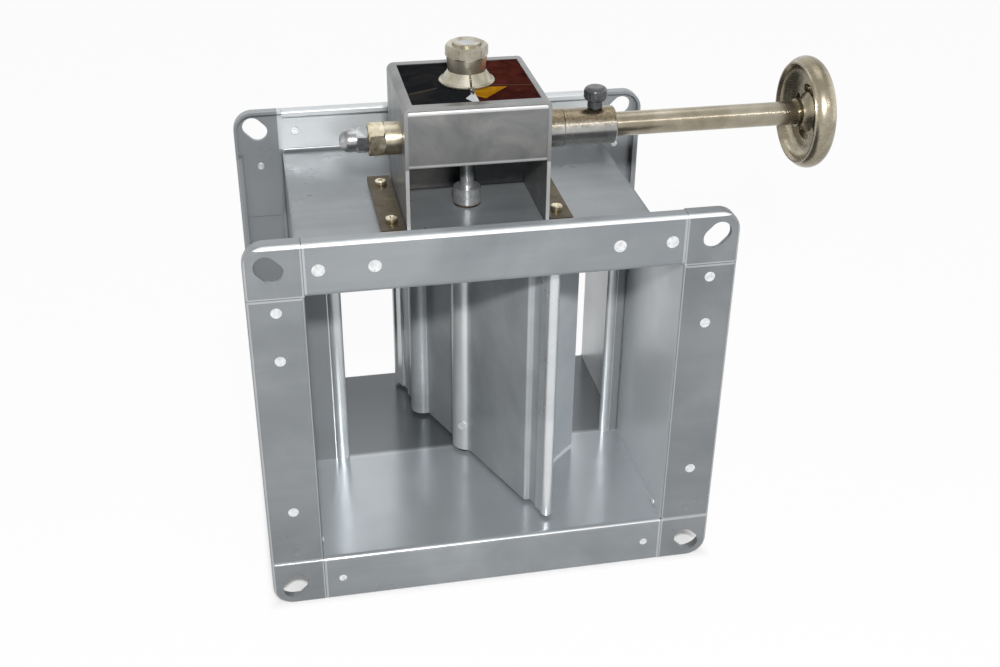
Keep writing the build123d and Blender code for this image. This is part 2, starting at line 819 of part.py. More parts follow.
def worm_wheel():
    """A worm wheel with straight sided teeth on a hub."""
    tip = wheel_radius - worm_gap / 2
    root = wheel_radius - tooth_depth * gear_module
    blank = Circle(root)
    pitch = 2 * math.pi / gear_teeth
    for i in range(gear_teeth):
        a = i * pitch
        corners = []
        for r, share in ((root - tooth_sink, tooth_foot_share), (tip, tooth_tip_share)):
            corners.append((r, share * pitch))
        points = [(r * math.cos(a - s), r * math.sin(a - s)) for r, s in corners]
        points += [(r * math.cos(a + s), r * math.sin(a + s)) for r, s in reversed(corners)]
        blank += make_face(Polyline(*points, close=True))
    wheel = extrude(blank, gear_width / 2, both=True)
    wheel += Cylinder(wheel_hub_outer / 2, wheel_hub_height)
    wheel -= Cylinder(spindle_diameter / 2, wheel_hub_height + 2)
    return Pos(0, axis_y, worm_z) * wheel


def worm_shaft():
    """A right hand worm with a journal at each end and a shank that enters the rod."""
    outer = worm_pitch_radius - worm_gap / 2
    root = outer - tooth_depth * gear_module
    wall_left = -box_width / 2 + box_sheet + boss_flange_height
    wall_right = -wall_left
    left_end = -box_width / 2 - end_play
    shank_end = box_width / 2 + ring_reach + worm_shank
    body_left = wall_left + journal_gap
    body_right = wall_right - journal_gap
    solid = bar_x(worm_journal_left, left_end, body_left)
    solid += bar_x(2 * root, body_left, body_right)
    solid += bar_x(worm_journal_right, body_right, shank_end)
    pitch = math.pi * gear_module
    foot = pitch * thread_foot_share
    crest = pitch * thread_crest_share
    low = root - tooth_sink
    path = Helix(pitch, worm_length, low)
    tooth = Polyline((low, -foot), (outer, -crest), (outer, crest), (low, foot), close=True)
    thread = sweep(Plane.XZ * make_face(tooth), path, is_frenet=True)
    return solid + lay_x(thread, -worm_length / 2)


# Bearings of the worm

def bearing_parts():
    wall = box_width / 2
    inner = wall - box_sheet
    left = bar_x(left_boss_outer, -wall - left_boss_reach, -inner)
    left += bar_x(boss_flange, -inner, -inner + boss_flange_height)
    left -= bar_x(worm_journal_left + 2 * running_gap, -wall - left_boss_reach - 1, 0)
    nut_end = -wall - left_boss_reach
    adjuster_end = nut_end - lock_nut_height - dome_thread
    adjuster = bar_x(adjuster_diameter, adjuster_end, -wall - 2 * end_play)
    nut = lay_x(hexagon_z(lock_nut_flats, 0, 0, 0, lock_nut_height), nut_end - lock_nut_height)
    nut -= adjuster
    dome_base = nut_end - lock_nut_height
    dome = lay_x(hexagon_z(dome_flats, 0, 0, 0, dome_collar), dome_base - dome_collar)
    round_end = bar_x(dome_crown, dome_base - dome_height, dome_base - dome_collar)
    edge = round_end.edges().filter_by(GeomType.CIRCLE).sort_by(Axis.X)[0]
    round_end = fillet(edge, dome_crown / 2 * dome_round_share)
    dome = dome + round_end - adjuster
    ring = bar_x(ring_outer, wall, wall + ring_reach)
    ring += bar_x(left_boss_outer, inner, wall)
    ring += bar_x(boss_flange, inner - boss_flange_height, inner)
    ring -= bar_x(worm_journal_right + 2 * running_gap, 0, wall + ring_reach + 1)
    return {
        "left_boss": left,
        "end_play_adjuster": adjuster,
        "lock_nut": nut,
        "dome_nut": dome,
        "right_boss": ring,
    }


def sleeve_parts():
    start = box_width / 2 + ring_reach
    end = start + sleeve_length
    sleeve = bar_x(sleeve_outer, start, end)
    sleeve = chamfer(sleeve.edges().filter_by(GeomType.CIRCLE), sleeve_bevel)
    sleeve -= bar_x(rod_diameter + 2 * sleeve_gap, start - 1, end + 1)
    x = start + lock_screw_place
    screw_low = worm_z + rod_diameter / 2 + lock_screw_gap
    screw_top = worm_z + sleeve_outer / 2 + lock_screw_gap
    sleeve -= post(lock_screw_diameter, x, worm_y, worm_z, screw_top + 5)
    knob_low = screw_top + lock_neck_height
    thread = post(lock_screw_diameter - 2 * running_gap, x, worm_y, screw_low, knob_low)
    thread += post(lock_neck, x, worm_y, screw_top + lock_screw_gap, knob_low)
    knob = post(lock_knob_outer, x, worm_y, knob_low, knob_low + lock_knob_height)
    knob = fillet(knob.edges().filter_by(GeomType.CIRCLE), lock_knob_edge)
    reach = (lock_knob_outer + lock_knob_flute) / 2 - lock_knob_flute_depth
    flute = post(lock_knob_flute, reach, 0, knob_low - 1, knob_low + lock_knob_height + 1)
    for i in range(lock_knob_flutes):
        knob -= Pos(x, worm_y, 0) * Rot(0, 0, 360 * i / lock_knob_flutes) * flute
    return {"rod_sleeve": sleeve, "lock_screw": thread, "lock_screw_knob": knob}


# Rod and handwheel

def rod_parts():
    ring_end = box_width / 2 + ring_reach
    start = ring_end + rod_start
    shoulder = ring_end + rod_reach
    hub_end = shoulder + hub_length
    rod = bar_x(rod_diameter, start, shoulder)
    rod += bar_x(spigot_diameter, shoulder, hub_end)
    rod += bar_x(wheel_thread, hub_end, hub_end + wheel_nut_height + wheel_thread_proud)
    rod -= bar_x(worm_journal_right, start - 1, ring_end + worm_shank)
    wheel = handwheel(shoulder)
    nut = lay_x(hexagon_z(wheel_nut_flats, 0, 0, 0, wheel_nut_height), hub_end)
    nut -= bar_x(wheel_thread, hub_end - 1, hub_end + 2 * wheel_nut_height)
    return {"handwheel_rod": rod, "handwheel": wheel, "handwheel_nut": nut}


def handwheel(start):
    """A cupped wheel with a crisp lip and a round band, a bowl with a boss, and kidney pockets."""
    bore = spigot_diameter / 2
    collar = collar_outer / 2
    second = collar_length + collar_groove
    neck_x = second + collar_length
    neck = boss_neck / 2
    lip = wheel_lip / 2
    rim = wheel_diameter / 2
    mouth_x = wheel_lip_edge + wheel_lip_round
    web_back = hub_length - back_depth
    front = Polyline((0, bore), (0, collar), (collar_length, collar), (collar_length, neck),
                     (second, neck), (second, collar), (neck_x, collar), (neck_x, neck))
    boss = ThreePointArc((neck_x, neck), ((neck_x + bowl_depth) / 2, boss_swell / 2),
                         (bowl_depth, boss_foot / 2))
    floor = Line((bowl_depth, boss_foot / 2), (bowl_depth, bowl_floor / 2))
    bowl = ThreePointArc((bowl_depth, bowl_floor / 2), ((bowl_depth + mouth_x) / 2 + 1, bowl_swell / 2),
                         (mouth_x, bowl_mouth / 2))
    edge = Polyline((mouth_x, bowl_mouth / 2), (0, lip - wheel_lip_edge), (0, lip),
                    (wheel_lip_round, lip + wheel_lip_round / 2))
    band = ThreePointArc((wheel_lip_round, lip + wheel_lip_round / 2),
                         ((wheel_depth + wheel_lip_round) / 2, rim), (wheel_depth, lip))
    back = Polyline((wheel_depth, lip), (wheel_depth, back_rim / 2), (web_back, back_floor / 2),
                    (web_back, back_boss / 2 + 1), (hub_length, back_boss / 2), (hub_length, bore),
                    (0, bore))
    profile = make_face(front + boss + floor + bowl + edge + band + back)
    wheel = revolve(profile, Axis.X)
    middle = (pocket_inner + pocket_outer) / 4
    width = (pocket_outer - pocket_inner) / 2
    for i in range(pockets):
        turn = 360.0 * i / pockets - pocket_angle / 2
        pocket = SlotArc(CenterArc((0, 0), middle, turn, pocket_angle), width)
        cut = extrude(pocket, bowl_depth + pocket_depth)
        wheel -= Rot(0, 90, 0) * cut & block(bowl_depth - 2, hub_length, -rim, rim, -rim, rim)
    return Pos(start, worm_y, worm_z) * wheel


def main():
    nodes = {}
    nodes.update(casing_panels())
    nodes.update(corner_plates())
    nodes.update(flange_rivets())
    nodes.update(stops())
    nodes.update(blade_parts())
    nodes.update(bushes())
    nodes.update(spindle_parts())
    nodes.update(housing_parts())
    nodes["worm_wheel"] = worm_wheel()
    nodes["worm_shaft"] = worm_shaft()
    nodes.update(bearing_parts())
    nodes.update(sleeve_parts())
    nodes.update(rod_parts())
    os.makedirs("parts", exist_ok=True)
    for name, shape in nodes.items():
        export_step(shape, os.path.join("parts", name + ".step"))


main()
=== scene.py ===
import json
import math

import bpy
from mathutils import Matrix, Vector

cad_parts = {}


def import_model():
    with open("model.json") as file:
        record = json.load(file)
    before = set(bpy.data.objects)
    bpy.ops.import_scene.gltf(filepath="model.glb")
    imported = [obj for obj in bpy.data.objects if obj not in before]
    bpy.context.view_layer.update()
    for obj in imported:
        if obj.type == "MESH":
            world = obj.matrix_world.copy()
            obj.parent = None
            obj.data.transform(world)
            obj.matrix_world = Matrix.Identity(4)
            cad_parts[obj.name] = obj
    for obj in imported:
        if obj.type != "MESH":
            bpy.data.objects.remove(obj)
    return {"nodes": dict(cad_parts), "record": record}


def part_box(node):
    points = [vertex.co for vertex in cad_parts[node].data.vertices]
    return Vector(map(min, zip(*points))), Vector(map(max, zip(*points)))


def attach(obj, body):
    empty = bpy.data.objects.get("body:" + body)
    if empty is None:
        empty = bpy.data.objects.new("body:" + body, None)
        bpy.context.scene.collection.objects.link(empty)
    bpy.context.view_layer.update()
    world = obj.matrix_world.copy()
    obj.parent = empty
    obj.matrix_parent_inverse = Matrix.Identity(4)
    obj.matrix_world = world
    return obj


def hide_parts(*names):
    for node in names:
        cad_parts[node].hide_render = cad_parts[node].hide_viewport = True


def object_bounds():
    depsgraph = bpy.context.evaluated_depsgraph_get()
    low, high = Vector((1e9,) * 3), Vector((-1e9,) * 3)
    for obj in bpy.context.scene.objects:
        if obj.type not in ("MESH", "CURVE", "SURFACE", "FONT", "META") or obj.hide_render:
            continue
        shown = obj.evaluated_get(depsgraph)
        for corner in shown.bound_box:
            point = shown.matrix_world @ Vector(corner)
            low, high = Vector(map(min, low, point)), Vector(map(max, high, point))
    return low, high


# Rectangular volume damper: flanged duct casing, butterfly blade and worm gear operator.
# Metres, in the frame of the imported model: +X to the handwheel, +Y along the airway, +Z up.

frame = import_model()
nodes = frame["nodes"]
cad_low, cad_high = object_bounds()
shaft_low, shaft_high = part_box("blade_shaft")
axis_y = (shaft_low.y + shaft_high.y) / 2
wall_x = -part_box("left_panel")[1].x
flange_x = -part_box("left_panel")[0].x
wall_z = -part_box("bottom_panel")[1].z
flange_z = -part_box("bottom_panel")[0].z
bracket_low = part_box("operator_bracket")[0]
cover_low, cover_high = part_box("front_cover")


# Camera, at the height and distance of the photograph

bpy.ops.object.camera_add(
    location=(-0.1187, -0.5840, 0.4020),
    rotation=(math.radians(59.72), math.radians(-0.606), math.radians(-11.192)))
camera = bpy.context.object
camera.name = "photo_camera"
camera.data.sensor_width = 36.0
camera.data.lens = 46.9
camera.data.clip_start = 0.01
camera.data.clip_end = 20.0
bpy.context.scene.camera = camera
bpy.context.scene.view_settings.view_transform = "Standard"


# Finishes. A share runs from 0 to 1, and tones are three colours: dark, middle and pale.

class Finish:
    """A material on the piece's own Object coordinates, with short calls for its patterns."""

    def __init__(self, name, colour, metal, roughness):
        self.material = bpy.data.materials.new(name)
        self.material.use_nodes = True
        self.nodes = self.material.node_tree.nodes
        self.links = self.material.node_tree.links
        self.shader = self.nodes["Principled BSDF"]
        self.shader.inputs["Base Color"].default_value = (*colour, 1.0)
        self.shader.inputs["Metallic"].default_value = metal
        self.shader.inputs["Roughness"].default_value = roughness
        self.place = self.nodes.new("ShaderNodeTexCoord").outputs["Object"]

    def feed(self, socket, value):
        """Give a socket a number, a colour or another node's output."""
        if isinstance(value, (int, float)):
            socket.default_value = value
        elif isinstance(value, tuple):
            socket.default_value = (*value, 1.0)
        else:
            self.links.new(value, socket)

    def stretched(self, scale, centre=(0, 0, 0)):
        """Object coordinates measured from a centre, stretched for a pattern with a direction."""
        mapping = self.nodes.new("ShaderNodeMapping")
        mapping.inputs["Location"].default_value = [-c * s for c, s in zip(centre, scale)]
        mapping.inputs["Scale"].default_value = scale
        self.links.new(self.place, mapping.inputs["Vector"])
        return mapping.outputs["Vector"]

    def axes(self, centre=(0, 0, 0)):
        """X, Y and Z of the piece, measured from a centre."""
        split = self.nodes.new("ShaderNodeSeparateXYZ")
        self.links.new(self.stretched((1, 1, 1), centre), split.inputs["Vector"])
        return [split.outputs[axis] for axis in "XYZ"]

    def noise(self, scale, detail=3.0, roughness=0.5, where=None, distortion=0.0):
        node = self.nodes.new("ShaderNodeTexNoise")
        node.inputs["Scale"].default_value = scale
        node.inputs["Detail"].default_value = detail
        node.inputs["Roughness"].default_value = roughness
        node.inputs["Distortion"].default_value = distortion
        self.links.new(self.place if where is None else where, node.inputs["Vector"])
        return node.outputs["Fac"]

    def ramp(self, value, places, colours):
        """A colour ramp with each colour at its place."""
        node = self.nodes.new("ShaderNodeValToRGB")
        points = node.color_ramp.elements
        while len(points) < len(colours):
            points.new(0.5)
        for point, place, colour in zip(points, places, colours):
            point.position = place
            point.color = (*colour, 1.0)
        self.links.new(value, node.inputs["Fac"])
        return node.outputs["Color"]

    def span(self, value, low, high, out_low, out_high):
        """Map a value from one range to another, held at its ends."""
        node = self.nodes.new("ShaderNodeMapRange")
        node.inputs["From Min"].default_value = low
        node.inputs["From Max"].default_value = high
        node.inputs["To Min"].default_value = out_low
        node.inputs["To Max"].default_value = out_high
        self.links.new(value, node.inputs["Value"])
        return node.outputs["Result"]

    def between(self, share, off, on):
        return self.span(share, 0.0, 1.0, off, on)

    def math(self, operation, first, second=0.0):
        node = self.nodes.new("ShaderNodeMath")
        node.operation = operation
        self.feed(node.inputs[0], first)
        self.feed(node.inputs[1], second)
        return node.outputs["Value"]

    def chain(self, operation, first, *others):
        for other in others:
            first = self.math(operation, first, other)
        return first

    def both(self, *shares):
        return self.chain("MULTIPLY", *shares)

    def either(self, *shares):
        return self.chain("MAXIMUM", *shares)

    def total(self, *values):
        return self.chain("ADD", *values)

    def without(self, share):
        return self.math("SUBTRACT", 1.0, share)

    def squares(self, *lengths):
        """The squared distance that lengths along the axes make."""
        return self.total(*(self.both(length, length) for length in lengths))

    def size(self, value):
        return self.math("ABSOLUTE", value)

    def apart(self, value, target):
        return self.size(self.math("SUBTRACT", value, target))

    def above(self, value, limit):
        return self.math("GREATER_THAN", value, limit)

    def below(self, value, limit):
        return self.math("LESS_THAN", value, limit)

    def mix(self, factor, first, second):
        node = self.nodes.new("ShaderNodeMix")
        node.data_type = "RGBA"
        self.feed(node.inputs["Factor"], factor)
        self.feed(node.inputs[6], first)
        self.feed(node.inputs[7], second)
        return node.outputs[2]

    def colour(self, value):
        self.links.new(value, self.shader.inputs["Base Color"])

    def metal(self, value):
        self.links.new(value, self.shader.inputs["Metallic"])

    def roughness(self, value):
        self.links.new(value, self.shader.inputs["Roughness"])

    def bump(self, height, strength, distance):
        node = self.nodes.new("ShaderNodeBump")
        node.inputs["Strength"].default_value = strength
        node.inputs["Distance"].default_value = distance
        self.links.new(height, node.inputs["Height"])
        self.links.new(node.outputs["Normal"], self.shader.inputs["Normal"])


edge = 0.0003  # The width over which one tone of a sheet gives way to the next


def galvanised_tone(f, tones):
    """Soft clouds, faint rolling streaks and paler patches of zinc, and the patches' own pattern."""
    clouds = f.noise(13.0, 4.0, 0.55, distortion=0.6)
    streaks = f.noise(1.0, 3.0, 0.6, where=f.stretched((6.0, 60.0, 60.0)))
    patches = f.noise(38.0, 3.0, 0.5, distortion=0.5)
    tone = f.ramp(f.mix(0.30, clouds, streaks), (0.30, 0.50, 0.72), tones)
    return f.mix(f.span(patches, 0.50, 0.80, 0.0, 0.25), tone, tones[2]), patches


def fine_grain(f):
    f.bump(f.noise(400.0, 2.0), 0.03, 0.0002)


def sheet_steel(name, tones, metal, gloss):
    """Galvanised sheet with the same look on every face."""
    f = Finish(name, tones[1], metal, gloss[0])
    tone, patches = galvanised_tone(f, tones)
    f.colour(tone)
    f.roughness(f.span(patches, 0.3, 0.7, *gloss))
    fine_grain(f)
    return f.material


def blade_sheet():
    """The blade's galvanised skin, with a painted highlight on the stiffening bead over the shaft."""
    f = Finish("galvanised_blade_steel", (0.60, 0.63, 0.65), 0.50, 0.34)
    tones = ((0.25, 0.27, 0.285), (0.33, 0.352, 0.37), (0.44, 0.465, 0.48))
    tone, patches = galvanised_tone(f, tones)
    x, y = f.axes(centre=(0.0, axis_y, 0.0))[:2]
    # Squared distances from the shaft's axis.
    bead_ends, skin_starts = 0.000085, 0.000105
    bead_highlight = f.span(f.squares(x, y), bead_ends, skin_starts, 1.0, 0.0)
    # Painted highlight: the bead over the shaft is painted pale.
    f.colour(f.mix(bead_highlight, tone, (0.88, 0.90, 0.91)))
    f.metal(f.between(bead_highlight, 0.22, 0.75))
    f.roughness(f.span(patches, 0.3, 0.7, 0.28, 0.36))
    fine_grain(f)
    return f.material


def stop_steel(name, nose_x):
    """A stop: its nose painted pale as a highlight, its web and leg painted darker as shade."""
    f = Finish(name, (0.30, 0.32, 0.335), 0.35, 0.42)
    tones = ((0.46, 0.48, 0.495), (0.56, 0.585, 0.60), (0.66, 0.68, 0.695))
    tone = galvanised_tone(f, tones)[0]
    nose = f.below(f.size(f.axes()[0]), nose_x)
    # Painted highlight on the nose, painted shade on the web and leg.
    f.colour(f.mix(nose, f.mix(0.85, tone, (0.15, 0.161, 0.170)), tone))
    f.metal(f.between(nose, 0.25, 0.60))
    f.roughness(f.between(nose, 0.50, 0.29))
    fine_grain(f)
    return f.material


def duct_steel(name, inside_tone, inside_metal, inside_gloss, painted_shade_behind=0.0, painted_light_level=1.0,
               inner_bend_highlight=0.45):
    """Galvanised duct sheet: satin outside, painted highlights on the bends, its own tone inside."""
    f = Finish(name, (0.31, 0.33, 0.345), 0.40, 0.3)
    tones = ((0.146, 0.159, 0.171), (0.192, 0.207, 0.219), (0.256, 0.272, 0.285))
    tone, patches = galvanised_tone(f, [tuple(c * painted_light_level for c in colour) for colour in tones])
    x, y, z = f.axes()
    width, height = f.size(x), f.size(z)
    from_middle = f.apart(y, axis_y)

    # Painted light: the rear flange is painted a little paler where the light falls on it, its top rail
    # most of all.
    past_sheet, above_bend = 0.0016, 0.003
    past_walls = f.either(f.above(width, wall_x + past_sheet), f.above(height, wall_z + past_sheet))
    rear_rail = f.both(f.above(y, 0.90 * cad_high.y), past_walls)
    top_rail = f.both(rear_rail, f.above(z, wall_z + above_bend), f.below(width, wall_x + above_bend))
    tone = f.mix(f.both(rear_rail, 0.5), tone, (0.30, 0.32, 0.335))
    tone = f.mix(f.both(top_rail, 0.75), tone, (0.66, 0.69, 0.705))

    # Painted highlights: the top's outer bends and the opening's inner bends are painted bright, the
    # other bends less.
    bend = 0.0012
    on_top = f.above(z, flange_z - 0.0022)
    on_side = f.both(f.above(width, flange_x - 0.0016), 0.35)
    at_opening = f.either(f.below(f.apart(width, wall_x), bend), f.below(f.apart(height, wall_z), bend))
    inside_frame = f.both(f.below(width, wall_x + bend), f.below(height, wall_z + bend))
    on_inner = f.both(at_opening, f.between(inside_frame, 0.30, inner_bend_highlight))
    at_ends = f.span(from_middle, axis_y - 0.0017, axis_y - 0.0007, 0.0, 0.8)
    tone = f.mix(f.both(f.either(on_top, on_side, on_inner), at_ends), tone, (0.84, 0.86, 0.87))

    inside = f.both(f.below(width, wall_x + edge), f.below(height, wall_z + edge))
    # The inside tone is given per panel; the walls' and floor's carry painted light and shade.
    inner = f.mix(0.6, tone, inside_tone)
    if painted_shade_behind:
        # Painted shade: the floor is painted darker behind the shaft's plane, deeper towards the back,
        # with a pale line on that plane.
        behind = f.span(y, axis_y - edge, axis_y + edge, 0.0, 1.0)
        fading = f.span(y, axis_y, axis_y + 0.075, 0.80 * painted_shade_behind, painted_shade_behind)
        inner = f.mix(f.both(behind, fading), inner, (0.062, 0.069, 0.073))
        inner = f.mix(f.span(from_middle, 0.0006, 0.0030, 0.45, 0.0), inner, (0.55, 0.58, 0.59))
    f.colour(f.mix(inside, tone, inner))
    f.metal(f.between(inside, 0.25, inside_metal))
    outer_gloss = f.span(patches, 0.3, 0.7, 0.27, 0.36)
    inner_gloss = f.span(patches, 0.3, 0.7, *inside_gloss)
    f.roughness(f.total(f.both(inside, inner_gloss), f.both(f.without(inside), outer_gloss)))
    fine_grain(f)
    return f.material


def box_steel(name, tones, bright=None):
    """The operator's galvanised sheet, a little darker and browner than the duct's."""
    f = Finish(name, tones[1], 0.38, 0.36)
    clouds = f.noise(28.0, 4.0, 0.6, distortion=0.8)
    stain = f.noise(19.0, 3.0, 0.5, where=f.stretched((1.0, 1.0, 1.0), centre=(0.2, 0.1, 0.4)))
    tone = f.ramp(clouds, (0.32, 0.52, 0.72), tones)
    tone = f.mix(f.span(stain, 0.55, 0.7, 0.0, 0.35), tone, (0.27, 0.245, 0.215))
    # Painted highlights, where given, go on in a pale tone.
    if bright:
        tone = f.mix(bright(f), tone, (0.70, 0.71, 0.71))
    f.colour(tone)
    f.roughness(f.span(f.noise(60.0, 4.0), 0.3, 0.7, 0.28, 0.40))
    fine_grain(f)
    return f.material


def leg_edge_highlights(f):
    """Painted highlights on the bracket's cut edges at the front: bright below the cover, dimmer beside
    it.
    """
    y, z = f.axes()[1:]
    front = f.below(y, bracket_low.y + edge)
    return f.both(front, f.span(z, cover_low.z - edge, cover_low.z + edge, 0.70, 0.18))


def cover_fold_highlights(f):
    """Painted highlights along the front cover's folds at its top and bottom."""
    y, z = f.axes()[1:]
    top = f.span(z, cover_high.z - 0.0028, cover_high.z - 0.0022, 0.0, 0.70)
    bottom = f.span(z, cover_low.z + 0.0018, cover_low.z + 0.0026, 0.75, 0.0)
    return f.both(f.either(top, bottom), f.below(y, cover_low.y + 0.0016))


def rivet_aluminium():
    """Bright rivets with a soft rolled face."""
    f = Finish("bright_rivet_metal", (0.80, 0.81, 0.82), 0.55, 0.34)
    f.colour(f.ramp(f.noise(420.0, 3.0), (0.35, 0.6), ((0.56, 0.575, 0.59), (0.74, 0.75, 0.76))))
    f.roughness(f.span(f.noise(300.0, 2.0), 0.3, 0.7, 0.26, 0.42))
    f.bump(f.noise(900.0, 3.0), 0.15, 0.0002)
    return f.material


def turned_steel(name, tones, metal, gloss):
    """Turned steel with bright zinc and grey handling marks."""
    f = Finish(name, tones[1], metal, gloss[0])
    f.colour(f.ramp(f.noise(110.0, 4.0, 0.55, distortion=0.8), (0.34, 0.52, 0.68), tones))
    f.roughness(f.span(f.noise(180.0, 3.0), 0.3, 0.7, *gloss))
    f.bump(f.noise(1.0, 2.0, where=f.stretched((2600.0, 300.0, 300.0))), 0.05, 0.0001)
    return f.material


def nickel_tone(f, tones):
    return f.ramp(f.noise(45.0, 4.0, 0.55, distortion=0.5), (0.32, 0.52, 0.70), tones)


def champagne_nickel(name, tones, speckle, gloss):
    """Satin champagne nickel with a fine brown grain."""
    f = Finish(name, tones[1], 0.95, gloss[0])
    grain = f.noise(900.0, 3.0, 0.7)
    dots = f.span(grain, 0.50, 0.62, 0.0, speckle)
    f.colour(f.mix(dots, nickel_tone(f, tones), (0.10, 0.075, 0.045)))
    f.roughness(f.span(grain, 0.35, 0.65, *gloss))
    f.bump(grain, 0.05, 0.0002)
    return f.material


def sleeve_nickel():
    """The rod's sleeve: silvery, speckled brown along the top."""
    f = Finish("sleeve_nickel", (0.46, 0.45, 0.43), 0.92, 0.24)
    tones = ((0.30, 0.297, 0.285), (0.37, 0.367, 0.355), (0.46, 0.457, 0.445))
    sleeve_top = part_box("rod_sleeve")[1].z
    near_top = f.span(f.axes()[2], sleeve_top - 0.0085, sleeve_top - 0.0035, 0.0, 1.0)
    grain = f.noise(900.0, 3.0, 0.7)
    dots = f.both(f.span(grain, 0.48, 0.60, 0.0, 0.75), near_top)
    tone = f.mix(f.both(near_top, 0.9), nickel_tone(f, tones), (0.19, 0.150, 0.090))
    f.colour(f.mix(dots, tone, (0.085, 0.060, 0.032)))
    f.roughness(f.span(f.noise(160.0, 3.0), 0.35, 0.65, 0.20, 0.30))
    f.bump(f.both(grain, near_top), 0.08, 0.0002)
    return f.material


def weathered_nickel():
    """The position hub: dull nickel, pale where handled, with one copper brown worn place."""
    f = Finish("weathered_nickel", (0.40, 0.37, 0.30), 0.85, 0.32)
    tones = ((0.22, 0.200, 0.150), (0.36, 0.335, 0.270), (0.52, 0.495, 0.415))
    clouds = f.noise(80.0, 4.0, 0.55, distortion=0.8)
    neck_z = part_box("hub_nut")[0].z
    x, y, z = f.axes(centre=(0.0085, axis_y - 0.0070, neck_z - 0.0030))
    ragged = f.span(f.noise(420.0, 4.0, 0.65), 0.3, 0.7, 0.0, 0.000012)
    # Squared distances from the worn place.
    worn_ends, nickel_starts = 0.000014, 0.000024
    worn = f.span(f.total(f.squares(x, z, y), ragged), worn_ends, nickel_starts, 0.85, 0.0)
    tone = f.mix(worn, f.ramp(clouds, (0.30, 0.50, 0.70), tones), (0.50, 0.24, 0.13))
    grime = f.noise(240.0, 4.0, 0.7)
    f.colour(f.mix(f.span(grime, 0.60, 0.74, 0.0, 0.55), tone, (0.11, 0.095, 0.065)))
    f.roughness(f.span(clouds, 0.3, 0.7, 0.40, 0.22))
    f.bump(f.mix(0.5, clouds, grime), 0.15, 0.0003)
    return f.material


def satin_brass(name, tones):
    """Turned brass or bronze with fine lathe lines across X."""
    f = Finish(name, tones[1], 0.95, 0.3)
    clouds = f.noise(160.0, 4.0, 0.6, distortion=0.6)
    f.colour(f.ramp(clouds, (0.32, 0.52, 0.70), tones))
    f.roughness(f.span(clouds, 0.3, 0.7, 0.24, 0.4))
    f.bump(f.noise(1.0, 2.0, where=f.stretched((2400.0, 200.0, 200.0))), 0.1, 0.0001)
    return f.material


def olive_strip():
    """Olive yellow passivated strips, rubbed and a little dusty."""
    f = Finish("olive_passivated_strip", (0.17, 0.13, 0.06), 0.6, 0.42)
    tones = ((0.032, 0.021, 0.007), (0.056, 0.039, 0.014), (0.095, 0.070, 0.031))
    f.colour(f.ramp(f.noise(70.0, 4.0, 0.6, distortion=1.0), (0.30, 0.52, 0.72), tones))
    f.roughness(f.span(f.noise(200.0, 3.0), 0.3, 0.7, 0.32, 0.5))
    f.bump(f.noise(600.0, 2.0), 0.15, 0.0002)
    return f.material


def black_moulding():
    """Glossy black moulded knob with a faint orange peel."""
    f = Finish("black_knob_moulding", (0.018, 0.019, 0.021), 0.0, 0.28)
    f.colour(f.ramp(f.noise(240.0, 3.0), (0.35, 0.7), ((0.030, 0.032, 0.036), (0.070, 0.073, 0.079))))
    f.roughness(f.span(f.noise(300.0, 3.0), 0.3, 0.7, 0.18, 0.30))
    f.bump(f.noise(1200.0, 2.0), 0.08, 0.0002)
    return f.material


def sign_print():
    """Generic sign: black and dark red fields, a yellow wedge, a white line and no lettering."""
    f = Finish("sign_print", (0.03, 0.03, 0.03), 0.0, 0.45)
    f.shader.inputs["Specular IOR Level"].default_value = 0.0
    x, y = f.axes(centre=(0.0, axis_y, 0.0))[:2]
    soft = 0.00015
    line_left, line_right = -0.0010, 0.0012

    def beyond(slope, offset):
        """1 on the far side of the line y = slope * x + offset."""
        height = f.math("SUBTRACT", y, f.both(x, slope))
        return f.span(height, offset - soft, offset + soft, 0.0, 1.0)

    def before(slope, offset):
        return f.without(beyond(slope, offset))

    def right_of(place):
        return f.span(x, place - soft, place + soft, 0.0, 1.0)

    fading = f.noise(60.0, 4.0, 0.6, distortion=1.2)
    black = f.ramp(fading, (0.45, 0.78), ((0.012, 0.013, 0.015), (0.030, 0.028, 0.026)))
    red = f.ramp(fading, (0.35, 0.65), ((0.036, 0.008, 0.006), (0.080, 0.019, 0.014)))
    yellow = f.ramp(fading, (0.38, 0.64), ((0.27, 0.118, 0.005), (0.40, 0.205, 0.010)))
    red = f.mix(f.span(y, -0.033, -0.010, 0.55, 0.0), red, (0.022, 0.008, 0.007))
    red = f.mix(f.span(f.noise(110.0, 4.0, 0.7), 0.60, 0.75, 0.0, 0.5), red, (0.10, 0.034, 0.022))
    colour = f.mix(right_of(0.0006), black, red)
    # A faint pale line crosses the red field.
    faint = f.both(beyond(-0.16, -0.0062), before(-0.16, -0.0052), right_of(0.012))
    colour = f.mix(f.both(faint, 0.45), colour, (0.16, 0.10, 0.085))
    wedge = f.both(before(-0.10, -0.0095), beyond(1.12, -0.0345), beyond(-0.95, -0.0225),
                   right_of(line_right))
    colour = f.mix(wedge, colour, yellow)
    line = f.both(right_of(line_left), f.without(right_of(line_right)), before(0.0, -0.012))
    colour = f.mix(line, colour, (0.60, 0.61, 0.60))
    corner = f.both(before(1.6, -0.0185), beyond(-1.9, -0.0365), f.without(right_of(line_left)))
    colour = f.mix(corner, colour, (0.55, 0.57, 0.58))
    smear = f.both(beyond(0.45, -0.0015), before(0.45, 0.0008), f.without(right_of(-0.018)))
    f.colour(f.mix(f.both(smear, 0.35), colour, (0.12, 0.10, 0.07)))
    f.roughness(f.span(fading, 0.3, 0.7, 0.38, 0.55))
    f.bump(f.noise(500.0, 2.0), 0.04, 0.0001)
    return f.material


def paint(piece, finish):
    piece.data.materials.clear()
    piece.data.materials.append(finish)


